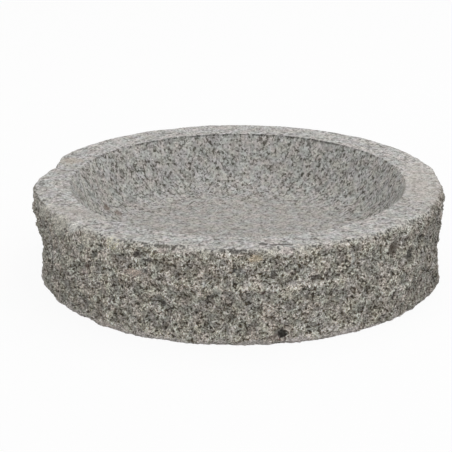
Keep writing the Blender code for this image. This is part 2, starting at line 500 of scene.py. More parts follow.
class Skin:
    """Rings joined into one closed surface, from a pole to a pole."""

    def __init__(self) -> None:
        """Starts with no rings."""
        self.rings: list[np.ndarray] = []
        self.marks: list[np.ndarray] = []

    def add(self, points: np.ndarray, marks: np.ndarray) -> None:
        """Adds a ring.

        Args:
            points: Its points, shape (count, 3).
            marks: The finish marks of each point, shape (count, number of marks).
        """
        self.rings.append(points)
        self.marks.append(np.broadcast_to(marks, (len(points), marks.shape[-1])))

    def faces(self) -> tuple[np.ndarray, np.ndarray]:
        """Quads between rings of the same count, and triangles elsewhere.

        Where the count halves, three triangles span two fine steps and one coarse step. A ring of
        one point is a pole.

        Returns:
            The quads, shape (n, 4), and the triangles, shape (m, 3).
        """
        quads, triangles = [], []
        start = 0
        for ring, after in itertools.pairwise(self.rings):
            first, second = start, start + len(ring)
            n, m = len(ring), len(after)
            if n == m:
                a = np.arange(n)
                b = (a + 1) % n
                quads.append(np.stack([first + a, first + b, second + b, second + a], axis=1))
            elif n == 1:
                a = np.arange(m)
                triangles.append(np.stack([np.full(m, first), second + (a + 1) % m, second + a], axis=1))
            elif m == 1:
                a = np.arange(n)
                triangles.append(np.stack([first + a, first + (a + 1) % n, np.full(n, second)], axis=1))
            elif n > m:
                triangles.append(self._halved(first, n, second, m, False))
            else:
                triangles.append(self._halved(second, m, first, n, True))
            start = second
        return np.concatenate(quads), np.concatenate(triangles)

    @staticmethod
    def _halved(fine: int, n: int, coarse: int, m: int, swapped: bool) -> np.ndarray:
        """Triangles between a ring and one of half as many points.

        Args:
            fine: Number of the finer ring's first point.
            n: Count of its points.
            coarse: Number of the coarser ring's first point.
            m: Count of its points, half of n.
            swapped: Whether the coarser ring comes first.

        Returns:
            The triangles, shape (3 * m, 3).
        """
        c = np.arange(m)
        f0, f1, f2 = fine + 2 * c, fine + 2 * c + 1, fine + (2 * c + 2) % n
        c0, c1 = coarse + c, coarse + (c + 1) % m
        triangles = np.concatenate([
            np.stack([f0, f1, c0], axis=1),
            np.stack([f1, c1, c0], axis=1),
            np.stack([f1, f2, c1], axis=1),
        ])
        return triangles[:, ::-1] if swapped else triangles

    def mesh(self, name: str, mark_names: tuple[str, ...]) -> bpy.types.Mesh:
        """The surface as a mesh with a point attribute for each mark.

        Args:
            name: The mesh's name.
            mark_names: Names of the attributes, in the order of the marks.

        Returns:
            The mesh.
        """
        quads, triangles = self.faces()
        mesh = bpy.data.meshes.new(name)
        mesh.from_pydata(np.concatenate(self.rings), [], quads.tolist() + triangles.tolist())
        marks = np.concatenate(self.marks)
        for column, mark_name in enumerate(mark_names):
            attribute = mesh.attributes.new(mark_name, "FLOAT", "POINT")
            attribute.data.foreach_set("value", marks[:, column].astype(np.float32))
        mesh.update()
        return mesh


# The stone's surface

# Some marks carry painted light and shade: the depth of the hollows and the mark of the side's flanks give
# the split face painted shade, the arris mark gives painted chip shadows besides crushed grains, the foot
# mark painted light, and the wall mark the bowl wall's painted shade.
MARKS = ("split", "turned", "bruise", "foot", "hollow", "lip", "wall", "flank")


@dataclass
class Trough:
    """The whole stone as one surface.

    Each underside ring gives its count of points and its share of the radius. Each rim ring gives
    how far it lies in from the edge, how many of the side's columns share one of its points, and
    how much of the edge's wear it has.
    """

    block: Block = field(default_factory=Block)
    bowl: Bowl = field(default_factory=Bowl)
    ridge: Ridge = field(default_factory=Ridge)
    corner: BrokenCorner = field(default_factory=BrokenCorner)
    breaks: Breaks = field(default_factory=Breaks)
    spalls: tuple[Spall, ...] = (
        Spall(-177, 0.38, 0.165, 0.030, 0.46),
        Spall(-158, 0.02, 0.110, 0.015, 0.34),
        Spall(-156, 0.56, 0.075, 0.011, 0.34),
        Spall(-138, 0.04, 0.110, 0.007, 0.34),
        Spall(-104, 0.30, 0.120, 0.007, 0.26),
        Spall(-66, 0.82, 0.090, 0.005, 0.20),
        Spall(-124, 0.97, 0.040, -0.009, 0.18),
        Spall(-75, 0.97, 0.030, -0.008, 0.16),
        Spall(-54, 0.97, 0.040, -0.009, 0.18),
        Spall(-33, 0.97, 0.080, -0.008, 0.20),
        Spall(-12, 0.96, 0.140, -0.004, 0.26),
        Spall(-4, 0.42, 0.130, 0.022, 0.48),
        Spall(38, 0.66, 0.100, 0.009, 0.30),
        Spall(82, 0.26, 0.130, 0.010, 0.28),
        Spall(126, 0.62, 0.110, 0.009, 0.28),
    )
    chips: tuple[Chip, ...] = (
        Chip(-163, 0.040, 0.002, 0.06),
        Chip(-146, 0.040, 0.003, 0.06),
        Chip(-105, 0.022, 0.014, 0.06),
        Chip(-80, 0.016, 0.006, 0.05),
        Chip(54, 0.030, 0.004, 0.07),
        Chip(112, 0.040, 0.005, 0.06),
    )
    pits: tuple[Spall, ...] = (
        Spall(-79, 0.12, 0.018, 0.012, 0.065),
        Spall(-110, 0.43, 0.011, 0.007, 0.040),
        Spall(-38, 0.66, 0.017, 0.009, 0.080),
        Spall(-45, 0.78, 0.020, 0.009, 0.090),
        Spall(-129, 0.24, 0.014, 0.007, 0.050),
        Spall(-92, 0.30, 0.013, 0.006, 0.050),
        Spall(-109, 0.97, 0.024, 0.008, 0.055),
        Spall(-81, 0.74, 0.010, 0.006, 0.045),
        Spall(-70, 0.68, 0.016, 0.006, 0.035),
        Spall(-117, 0.87, 0.010, 0.006, 0.040),
    )
    spall_lip_power: float = 0.8
    nibble_pitch: float = 17 * MM
    nibble: float = 0.9 * MM
    nibble_drop: float = 1.4 * MM
    nibble_mean: float = 0.6
    setback_power: float = 1.6
    edge_pitch: float = 3.6 * MM
    edge_drop: float = 1.7 * MM
    edge_mean: float = 0.35
    edge_reach: float = 5 * MM
    least_wear: float = 0.12
    wear_turn: float = 0.3
    foot_roughness: float = 0.7
    rim_roughness: tuple[float, float] = (0.1, 0.7)
    rim_chips: ChipRow = ChipRow(5, 420, (1.6 * MM, 9 * MM), (1.2 * MM, 6 * MM), (0.5 * MM, 4.0 * MM))
    foot_chips: ChipRow = ChipRow(9, 150, (3 * MM, 12 * MM), (1.2 * MM, 5 * MM), (0.6 * MM, 2.6 * MM))
    chip_margin: float = 2 * MM
    # Crushed grains and painted chip shadows under the rim's arris reach this far.
    bruise_and_shadow_height: float = 8 * MM
    bruise_and_shadow_width: float = 6 * MM
    least_bruise_and_shadow: float = 0.4
    # Painted light along the foot reaches this high.
    foot_band: float = 14 * MM
    # Painted shade at the flanks of the split face: where it starts, how fast it grows, and its share on the
    # left.
    flank_start: float = 0.65
    flank_ease: float = 0.30
    left_painted_flank_share: float = 0.7
    hollow_reaches: tuple[int, ...] = (1, 2, 4)
    side_columns: int = 1024
    side_rows: int = 74
    stir_share: float = 0.3
    stir_rise: float = 0.3 * MM
    stir_pitch: float = 4 * MM
    stir_apart: float = 0.5
    underside_rings: tuple[tuple[int, float], ...] = (
        (1, 0.0), (32, 0.06), (64, 0.14), (128, 0.3), (256, 0.55), (512, 0.8), (1024, 0.93),
    )
    rim_rings: tuple[tuple[float, int, float], ...] = (
        (0.7 * MM, 1, 0.35), (1.8 * MM, 1, 0.05), (5.0 * MM, 2, 0.0), (9.0 * MM, 4, 0.0),
    )
    rim_shares: tuple[float, ...] = (0.45, 0.8)
    bowl_columns: int = 256
    crease: float = math.radians(40)

    def spall_relief(self, spalls: tuple[Spall, ...], angle: np.ndarray, height: np.ndarray) -> np.ndarray:
        """The scars of spalls, each (1 - along^2 - up^2) to a power, in its own lengths.

        Args:
            spalls: The scars.
            angle: Angle of each point.
            height: Height of each point.

        Returns:
            How far each point stands out.
        """
        diameter = self.block.diameter
        relief = np.zeros(np.broadcast(angle, height).shape)
        for spall in spalls:
            along = self.block.arc_from(angle, math.radians(spall.angle)) / (spall.half_length * diameter)
            up = (height / self.block.height - spall.middle) / spall.half_height
            relief -= spall.depth * diameter * fading(along**2 + up**2) ** self.spall_lip_power
        return relief

    def coarse_relief(self, angle: np.ndarray, height: np.ndarray) -> np.ndarray:
        """All of the side's large forms, as in the solid.

        Args:
            angle: Angle of each point.
            height: Height of each point.

        Returns:
            How far each point stands out.
        """
        plain = self.block.on_drum(angle, height)
        relief = self.ridge.relief(self.block, angle, height)
        relief += self.spall_relief(self.spalls, angle, height)
        relief += self.breaks.coarse(self.block, plain, height)
        return relief + self.corner.relief(self.block, angle, height)

    def wear(self, angle: np.ndarray) -> np.ndarray:
        """How worn the rim's arris is: the listed least at the back, rising to 1 in front."""
        front = np.clip(self.wear_turn - np.sin(angle), 0, 1)
        return between((self.least_wear, 1), front)

    def arris_chips(self, angle: np.ndarray) -> tuple[np.ndarray, np.ndarray]:
        """How far the chips set back the rim's arris and drop the edge under it, at each angle.

        Args:
            angle: The angles.

        Returns:
            The set-back and the drop in metres.
        """
        edge = self.block.on_drum(angle, np.full(angle.shape, self.block.height))
        nibble = np.clip(self.nibble_mean + LATTICE.noise(edge, self.nibble_pitch), 0, 1)
        setback = self.nibble * nibble
        drop = self.nibble_drop * (1 + nibble)
        diameter = self.block.diameter
        for chip in self.chips:
            along = self.block.arc_from(angle, math.radians(chip.angle)) / (chip.half_length * diameter)
            depth = fading(along**2)
            setback = setback + chip.setback * diameter * depth
            drop = drop + chip.drop * self.block.height * depth
        return setback, drop

    def side_grid(self, even: np.ndarray) -> tuple[np.ndarray, np.ndarray]:
        """Angle and height of each point of the side, stirred a little so that no rows show.

        Args:
            even: Even angles of a ring.

        Returns:
            The angles and the heights, each of shape (rows, columns).
        """
        height = self.block.height * np.linspace(0, 1, self.side_rows)[:, None] * np.ones_like(even)
        angle = np.broadcast_to(even, height.shape).copy()
        plain = self.block.on_drum(angle, height)
        inside = slice(1, -1)
        step = FULL_TURN / self.side_columns
        angle[inside] += self.stir_share * step * LATTICE.noise(plain, self.stir_pitch)[inside]
        rise = LATTICE.noise(plain + self.stir_apart, self.stir_pitch)
        height[inside] += self.stir_rise * rise[inside]
        return angle, height

    def side(self, skin: Skin) -> tuple[np.ndarray, np.ndarray]:
        """Adds the split side, from the underside's arris to the rim's.

        The surface is a function of the angle and the row. Its radius is the drum's plus the
        relief at that place. Near the rim the rows lean in to the set-back arris.

        Args:
            skin: The surface to add to.

        Returns:
            The rim's edge, as the radius at each angle and how far it is worn down there.
        """
        block, breaks = self.block, self.breaks
        even = round_angles(self.side_columns)
        wear = self.wear(even)
        setback, drop = self.arris_chips(even)
        angle, height = self.side_grid(even)
        plain = block.on_drum(angle, height)
        under = block.height - height

        edge_share = np.where(height < under, self.foot_roughness, between(self.rim_roughness, wear))
        relief = self.coarse_relief(angle, height)
        relief += breaks.fine(plain) * between((edge_share, 1), breaks.inner(block, height))
        relief += self.spall_relief(self.pits, angle, height)
        relief -= setback * fading(under / drop) ** self.setback_power
        relief -= block.foot_setback * fading(height / block.foot_rise) ** 2
        for chips, from_edge, share in ((self.rim_chips, under, wear), (self.foot_chips, height, 1.0)):
            near = from_edge[:, 0] < chips.half_height[1] + self.chip_margin
            relief[near] += share * chips.relief(block, angle[near], from_edge[near])

        facets = LATTICE.facets(plain[-1], self.edge_pitch)
        ragged = self.edge_drop * wear * np.clip(self.edge_mean + facets, 0, 1)
        marks = self.side_marks(angle, height, relief, drop)
        height -= ragged * fading(under / self.edge_reach)
        radius = block.radius + relief
        for ring, mark in zip(ring_point(radius, angle, height), marks):
            skin.add(ring, mark)
        return radius[-1], ragged

    def side_marks(
        self,
        angle: np.ndarray,
        height: np.ndarray,
        relief: np.ndarray,
        drop: np.ndarray,
    ) -> np.ndarray:
        """The side's finish: bruised under the rim with painted chip shadows, painted light along the foot
        and painted shade at the flanks.

        Args:
            angle: Angle of each point.
            height: Height of each point.
            relief: How far each point stands out.
            drop: How far the rim's chips reach down at each angle.

        Returns:
            The marks of each point.
        """
        wear = self.wear(round_angles(self.side_columns))
        bruise = fading((self.block.height - height) / (self.bruise_and_shadow_height + drop))
        flank = np.clip((np.abs(np.cos(angle)) - self.flank_start) / self.flank_ease, 0, 1)
        marks = self.marks(
            split=1.0,
            bruise=bruise * between((self.least_bruise_and_shadow, 1), wear),
            foot=fading(height / self.foot_band),
            hollow=self.hollows(relief),
            flank=flank * np.where(np.cos(angle) > 0, 1.0, self.left_painted_flank_share),
        )
        marks[-1, :, MARKS.index("split")] = 0.5
        return marks

    def hollows(self, relief: np.ndarray) -> np.ndarray:
        """How far each point lies below the mean of those about it.

        The mean is taken over three neighbours round the side and up it, again and again with a
        longer reach.

        Args:
            relief: How far each point stands out.

        Returns:
            The depths in millimetres.
        """
        mean = relief
        for reach in self.hollow_reaches:
            mean = (mean + np.roll(mean, reach, 1) + np.roll(mean, -reach, 1)) / 3
            padded = np.pad(mean, ((reach, reach), (0, 0)), mode="edge")
            mean = (mean + padded[2 * reach:] + padded[:-2 * reach]) / 3
        return (mean - relief) / MM

    def underside(self, skin: Skin) -> None:
        """Adds the sawn underside, a flat disc in rings from its centre."""
        for count, share in self.underside_rings:
            skin.add(ring_point(self.block.radius * share, round_angles(count), 0.0), self.marks())

    def rim(self, skin: Skin, edge: np.ndarray, ragged: np.ndarray) -> None:
        """Adds the sawn rim, from its outer edge to near the mouth.

        Args:
            skin: The surface to add to.
            edge: Radius of the rim's outer edge at each angle.
            ragged: How far the edge is worn down at each angle.
        """
        top = self.block.height
        for inward, step, worn in self.rim_rings:
            angle = round_angles(self.side_columns // step)
            outer = edge[::step] - inward
            bruise = fading(inward / self.bruise_and_shadow_width) * self.wear(angle)
            skin.add(ring_point(outer, angle, top - worn * ragged[::step]), self.marks(bruise=bruise))
        mouth = self.bowl.profile(self.block)[0, 0]
        for share in self.rim_shares:
            skin.add(ring_point(between((outer, mouth), share), angle, top), self.marks())

    def turned_bowl(self, skin: Skin) -> None:
        """Adds the turned bowl, from its mouth to its centre.

        Each ring is a circle at its radius and height in the section, raised by the turning waves.

        Args:
            skin: The surface to add to.
        """
        block, bowl = self.block, self.bowl
        profile = bowl.profile(block)
        angle = round_angles(self.bowl_columns)
        back = np.clip(bowl.lip_turn + np.sin(angle), 0, 1)
        for radius, height in profile:
            below = block.height - height
            wall = (radius / profile[0, 0] - bowl.wall_start_share) / bowl.wall_ease_share
            marks = self.marks(
                turned=below > bowl.lip_start,
                lip=(bowl.lip_start < below < bowl.lip_end) * back,
                wall=np.clip(wall, 0, 1),
            )
            points = ring_point(radius, angle, height)
            skin.add(bowl.waved(points, np.clip(below / bowl.wave_start, 0, 1)), marks)
        lowest = block.height - bowl.depth
        for count, share in bowl.centre_rings:
            level = between((lowest, height), share**2)
            points = ring_point(radius * share, round_angles(count), level)
            skin.add(bowl.waved(points), self.marks(turned=1.0))

    @staticmethod
    def marks(**shares: float | np.ndarray) -> np.ndarray:
        """The marks of some points, with zero for each mark that isn't given."""
        columns = np.broadcast_arrays(*(np.asarray(shares.get(name, 0.0), float) for name in MARKS))
        return np.stack(columns, axis=-1)

    def build(self) -> bpy.types.Object:
        """The dressed stone in the frame.

        Returns:
            The object, which replaces the solid and rides on its body.
        """
        skin = Skin()
        self.underside(skin)
        edge, ragged = self.side(skin)
        self.rim(skin, edge, ragged)
        self.turned_bowl(skin)
        mesh = skin.mesh("trough_stone", MARKS)
        stain = mesh.attributes.new("stain", "FLOAT_COLOR", "POINT")
        layer = StainsAndPaintedLight().layer(np.concatenate(skin.rings))
        stain.data.foreach_set("color", layer.astype(np.float32).ravel())
        mesh.shade_smooth()
        mesh.set_sharp_from_angle(angle=self.crease)
        mesh.materials.append(Granite().material())
        stone = bpy.data.objects.new("trough_stone", mesh)
        bpy.context.scene.collection.objects.link(stone)
        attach(stone, "root")
        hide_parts("granite_trough")
        triangles = sum(len(p.vertices) - 2 for p in mesh.polygons)
        log.info("trough_stone: %d points, %d triangles", len(mesh.vertices), triangles)
        return stone


# Shader expressions


class Signal:
    """A socket of a material, on which arithmetic adds Math nodes."""

    def __init__(self, tree: "Tree", socket: bpy.types.NodeSocket) -> None:
        """Wraps an output socket."""
        self.tree = tree
        self.socket = socket

    def _math(self, operation: str, *values: "float | Signal") -> "Signal":
        """One Math node."""
        return self.tree.signal("ShaderNodeMath", {"operation": operation}, dict(enumerate(values)))

    def __add__(self, other: "float | Signal") -> "Signal":
        """Sum."""
        return self._math("ADD", self, other)

    def __radd__(self, other: "float | Signal") -> "Signal":
        """Sum."""
        return self._math("ADD", other, self)

    def __sub__(self, other: "float | Signal") -> "Signal":
        """Difference."""
        return self._math("SUBTRACT", self, other)

    def __rsub__(self, other: "float | Signal") -> "Signal":
        """Difference."""
        return self._math("SUBTRACT", other, self)

    def __mul__(self, other: "float | Signal") -> "Signal":
        """Product."""
        return self._math("MULTIPLY", self, other)

    def __rmul__(self, other: "float | Signal") -> "Signal":
        """Product."""
        return self._math("MULTIPLY", other, self)

    def ramp(self, low: float, high: float) -> "Signal":
        """0 below low, 1 above high and an even ease between. Low may be above high."""
        values = {"Value": self, "From Min": low, "From Max": high}
        return self.tree.signal("ShaderNodeMapRange", {"interpolation_type": "SMOOTHSTEP"}, values)

    def clipped(self) -> "Signal":
        """Kept between 0 and 1."""
        return self.tree.signal("ShaderNodeClamp", {}, {"Value": self})


class Tree:
    """The nodes of one material or of the world."""

    noise_roughness: float = 0.55

    def __init__(self, made: bpy.types.Material | bpy.types.World, output: str) -> None:
        """Clears its nodes but for a new output.

        Args:
            made: The material or the world.
            output: The type of the output.
        """
        made.use_nodes = True
        self.made = made
        self.nodes = made.node_tree.nodes
        self.links = made.node_tree.links
        self.nodes.clear()
        self.output = self.nodes.new(output)

    @classmethod
    def material(cls, name: str) -> "Tree":
        """The nodes of a new material."""
        return cls(bpy.data.materials.new(name), "ShaderNodeOutputMaterial")

    def finish(self, surface: Signal) -> None:
        """Links a shader to the output."""
        self.links.new(surface.socket, self.output.inputs["Surface"])

    def node(self, kind: str, settings: dict[str, object], values: dict[object, object]) -> bpy.types.Node:
        """Adds a node.

        Args:
            kind: The node's type.
            settings: Its own settings, set first. "stops" fills a ramp with (place, colour) pairs.
            values: Values or links of its sockets, by name or number.

        Returns:
            The node.
        """
        node = self.nodes.new(kind)
        for key, value in settings.items():
            if key == "stops":
                elements = node.color_ramp.elements
                while len(elements) < len(value):
                    elements.new(1.0)
                for element, (place, colour) in zip(elements, value):
                    element.position = place
                    element.color = (*colour, 1.0)
            else:
                setattr(node, key, value)
        for key, value in values.items():
            socket = node.inputs[key]
            if isinstance(value, Signal):
                self.links.new(value.socket, socket)
            elif isinstance(value, tuple) and socket.type == "RGBA":
                socket.default_value = (*value, 1.0)
            else:
                socket.default_value = value
        return node

    def signal(
        self,
        kind: str,
        settings: dict[str, object],
        values: dict[object, object],
        output: int | str = 0,
    ) -> Signal:
        """Adds a node and wraps one of its outputs, by name or number."""
        return Signal(self, self.node(kind, settings, values).outputs[output])

    def mix(self, share: float | Signal, first: object, second: object, blend: str = "MIX") -> Signal:
        """A mix of two colours. Inputs 6 and 7 and output 2 are the node's own for colours."""
        settings = {"data_type": "RGBA", "blend_type": blend}
        return self.signal("ShaderNodeMix", settings, {0: share, 6: first, 7: second}, 2)

    def vector(self, operation: str, *values: object, output: int = 0) -> Signal:
        """One Vector Math node."""
        return self.signal("ShaderNodeVectorMath", {"operation": operation}, dict(enumerate(values)), output)

    def scaled(self, vector: object, factor: float | Signal) -> Signal:
        """A vector or colour times a number."""
        return self.signal("ShaderNodeVectorMath", {"operation": "SCALE"}, {0: vector, "Scale": factor})

    def noise(self, place: Signal, pitch: float, detail: float = 2.0, output: int = 0) -> Signal:
        """Soft noise with a lump for each pitch. Its output 0 is a number and 1 a vector."""
        values = {"Vector": place, "Scale": 1 / pitch, "Detail": detail, "Roughness": self.noise_roughness}
        return self.signal("ShaderNodeTexNoise", {}, values, output)

    def cells(self, place: Signal, pitch: float) -> bpy.types.Node:
        """Crystal cells of a mean size."""
        return self.node("ShaderNodeTexVoronoi", {}, {"Vector": place, "Scale": 1 / pitch})

    def parts(self, cells: bpy.types.Node) -> list[Signal]:
        """The three random numbers of each cell."""
        split = self.node("ShaderNodeSeparateColor", {}, {0: Signal(self, cells.outputs["Color"])})
        return [Signal(self, output) for output in split.outputs]

    def attribute(self, name: str) -> Signal:
        """A mark of the mesh."""
        return self.signal("ShaderNodeAttribute", {"attribute_name": name}, {}, "Fac")


# Stains, bruises and painted spots of light and shade


@dataclass(frozen=True)
class StainAndLightSpot:
    """A spot laid on the stone's colour. Most are stains and bruises; a few are painted light and painted
    shade.

    Angle in degrees, distance from the axis, height and reach along each axis in millimetres, then
    the colour it takes and how much of it.
    """

    angle: float
    radius: float
    height: float
    reach: tuple[float, float, float]
    colour: tuple[float, float, float]
    strength: float

    @property
    def middle(self) -> tuple[float, float, float]:
        """Its middle in the frame, in millimetres."""
        turn = math.radians(self.angle)
        return (self.radius * math.cos(turn), self.radius * math.sin(turn), self.height)


FLAT_STAINS_AND_LIGHT = (
    # A broad dark patch on the rim's right: painted shade, evening out the stronger light on that side.
    StainAndLightSpot(-12, 184, 92, (40, 70, 8), (0.22, 0.18, 0.14), 0.16),
    StainAndLightSpot(159, 183, 92, (13, 10, 9), (0.58, 0.47, 0.36), 0.35),
    StainAndLightSpot(-2, 184, 92, (26, 70, 6), (0.95, 0.87, 0.77), 0.19),
    StainAndLightSpot(-83.2, 185.5, 92, (4.5, 3.6, 4), (0.09, 0.08, 0.07), 0.80),
    StainAndLightSpot(-80.4, 189, 92, (3.5, 2.4, 4), (0.09, 0.08, 0.07), 0.70),
    StainAndLightSpot(-77.2, 190, 92, (6.5, 2.6, 4), (0.08, 0.07, 0.06), 0.80),
    StainAndLightSpot(-146, 183, 92, (26, 26, 6), (0.56, 0.50, 0.44), 0.30),
    StainAndLightSpot(162.4, 140.4, 49, (4.5, 4.5, 4), (0.18, 0.12, 0.09), 0.65),
    StainAndLightSpot(159.6, 130.7, 42, (5, 5, 4), (0.20, 0.14, 0.11), 0.55),
    StainAndLightSpot(142.3, 154.2, 70, (3, 3, 8), (0.10, 0.10, 0.09), 0.50),
    StainAndLightSpot(144.7, 136.2, 45, (8, 6, 6), (0.14, 0.13, 0.12), 0.35),
)

SIDE_STAINS_AND_LIGHT = (
    StainAndLightSpot(-117.1, 198, 80.3, (3.4, 8, 2.4), (0.09, 0.08, 0.07), 0.80),
    StainAndLightSpot(-113.5, 198, 76.4, (3.8, 8, 2.0), (0.09, 0.08, 0.07), 0.80),
    StainAndLightSpot(-131.1, 198, 70.2, (4.2, 9, 3.2), (0.10, 0.10, 0.09), 0.65),
    StainAndLightSpot(-133.7, 198, 57.1, (3.2, 9, 3.4), (0.15, 0.09, 0.07), 0.70),
    StainAndLightSpot(-144.6, 196, 46.3, (4.4, 9, 3.0), (0.10, 0.10, 0.07), 0.65),
    StainAndLightSpot(-114.6, 198, 67.4, (3.2, 8, 2.8), (0.10, 0.09, 0.08), 0.75),
    StainAndLightSpot(-137.0, 197, 36.8, (4.0, 9, 2.8), (0.09, 0.10, 0.09), 0.65),
    StainAndLightSpot(-146.2, 197, 73.4, (6.0, 9, 2.2), (0.10, 0.10, 0.09), 0.60),
    StainAndLightSpot(-92.6, 199, 61.0, (2.6, 8, 4.0), (0.12, 0.11, 0.10), 0.65),
    StainAndLightSpot(-72.4, 198, 45.8, (4.0, 8, 3.2), (0.09, 0.08, 0.06), 0.75),
    StainAndLightSpot(-83.5, 198, 53.2, (3.6, 8, 2.6), (0.16, 0.09, 0.08), 0.65),
    StainAndLightSpot(-96.6, 198, 49.0, (3.4, 8, 2.0), (0.08, 0.06, 0.05), 0.75),
    StainAndLightSpot(-90.6, 199, 90.0, (5.6, 5, 2.0), (0.12, 0.11, 0.10), 0.70),
    StainAndLightSpot(-96.3, 199, 84.9, (7.0, 8, 2.0), (0.16, 0.12, 0.09), 0.50),
    StainAndLightSpot(-110.2, 198, 90.8, (5.0, 4, 2.2), (0.10, 0.09, 0.07), 0.80),
    StainAndLightSpot(-106.7, 199, 90.4, (3.0, 5, 2.4), (0.12, 0.10, 0.08), 0.75),
    StainAndLightSpot(-109.7, 200, 87.0, (5.0, 6, 2.4), (1.0, 0.88, 0.82), 0.60),
    StainAndLightSpot(-105.4, 200, 88.4, (5.0, 6, 2.6), (1.0, 0.91, 0.86), 0.60),
    StainAndLightSpot(-102.4, 200, 89.6, (7.0, 6, 2.8), (1.0, 0.93, 0.86), 0.50),
    StainAndLightSpot(-134.0, 198, 84.0, (5.0, 8, 3.0), (1.0, 0.93, 0.80), 0.50),
    StainAndLightSpot(-134.8, 198, 51.2, (5.4, 9, 2.4), (1.0, 0.83, 0.77), 0.45),
    StainAndLightSpot(-127.1, 199, 74.7, (4.6, 8, 4.0), (1.0, 0.90, 0.82), 0.45),
    StainAndLightSpot(-125.5, 199, 58.1, (5.0, 8, 3.4), (0.98, 0.94, 0.84), 0.45),
    StainAndLightSpot(-98.6, 199, 60.2, (1.8, 8, 3.0), (1.0, 1.0, 0.98), 0.80),
    StainAndLightSpot(-87.8, 200, 61.0, (4.0, 8, 1.8), (1.0, 0.97, 0.92), 0.70),
    StainAndLightSpot(-75.7, 200, 59.7, (4.4, 8, 2.6), (1.0, 0.95, 0.92), 0.55),
    StainAndLightSpot(-98.2, 200, 87.5, (4.6, 6, 3.2), (1.0, 0.96, 0.82), 0.50),
    StainAndLightSpot(-74.0, 200, 88.8, (5.4, 6, 3.6), (1.0, 0.94, 0.83), 0.50),
    StainAndLightSpot(-66.4, 200, 88.6, (5.4, 6, 4.4), (1.0, 0.90, 0.86), 0.45),
    StainAndLightSpot(-139.3, 199, 88, (8, 8, 4.5), (0.98, 0.96, 0.90), 0.95),
    StainAndLightSpot(-123.5, 199, 86, (8, 8, 6), (0.98, 0.93, 0.72), 0.70),
    StainAndLightSpot(-123.5, 198, 86.5, (3.4, 3.4, 2.5), (0.10, 0.08, 0.06), 0.80),
    StainAndLightSpot(-117.5, 199, 64, (10, 10, 3.2), (1.0, 0.83, 0.73), 0.60),
    StainAndLightSpot(-59, 200, 73, (2, 2, 8), (0.80, 0.80, 0.76), 0.80),
    StainAndLightSpot(-45, 197, 71, (6, 6, 7), (0.17, 0.13, 0.10), 0.60),
    StainAndLightSpot(-38, 197, 61, (6, 6, 7), (0.10, 0.10, 0.09), 0.55),
    # Pale patches along the foot: painted light bounced from the floor.
    StainAndLightSpot(-85, 199, 2.5, (14, 10, 4), (1.0, 0.94, 0.90), 0.75),
    StainAndLightSpot(-74.5, 199, 3, (12, 10, 4), (1.0, 0.92, 0.89), 0.80),
    StainAndLightSpot(-63, 199, 3, (16, 12, 4), (1.0, 0.92, 0.88), 0.65),
    StainAndLightSpot(-127, 197, 3, (18, 14, 4.5), (1.0, 0.90, 0.84), 0.60),
    StainAndLightSpot(-108, 198, 2, (20, 8, 3), (1.0, 0.95, 0.90), 0.55),
    StainAndLightSpot(-80, 198, 7.5, (9, 9, 4.5), (0.34, 0.24, 0.21), 0.45),
    # A near-black spot in the pit near the foot: painted shade in the pit.
    StainAndLightSpot(-78.4, 197, 10, (4.6, 4.6, 3.4), (0.03, 0.03, 0.025), 0.90),
    StainAndLightSpot(-109, 199, 37.5, (4.8, 4.8, 2.6), (0.08, 0.07, 0.06), 0.80),
    StainAndLightSpot(-85.5, 200, 84, (5, 5, 3.5), (0.98, 0.80, 0.54), 0.50),
    StainAndLightSpot(-81.5, 200, 87.5, (6, 6, 4), (0.97, 0.92, 0.80), 0.55),
    StainAndLightSpot(-77.5, 200, 89.5, (7, 7, 2.8), (1.0, 0.88, 0.84), 0.60),
    StainAndLightSpot(-89.5, 198, 72, (7, 7, 4), (0.17, 0.18, 0.19), 0.45),
    StainAndLightSpot(-81, 198, 68.5, (4, 4, 4), (0.11, 0.10, 0.09), 0.60),
    StainAndLightSpot(-98, 198, 68, (5, 5, 4), (0.15, 0.14, 0.13), 0.45),
    StainAndLightSpot(-70, 198, 63, (7, 7, 2.6), (0.12, 0.10, 0.09), 0.55),
    StainAndLightSpot(-72, 200, 58, (6, 6, 3), (0.80, 0.71, 0.64), 0.45),
    StainAndLightSpot(-157, 199, 86, (12, 12, 7), (0.88, 0.85, 0.75), 0.55),
    StainAndLightSpot(-146, 198, 85, (12, 12, 8), (0.88, 0.85, 0.75), 0.60),
    StainAndLightSpot(-133, 199, 85, (8, 8, 7), (0.84, 0.80, 0.70), 0.45),
)


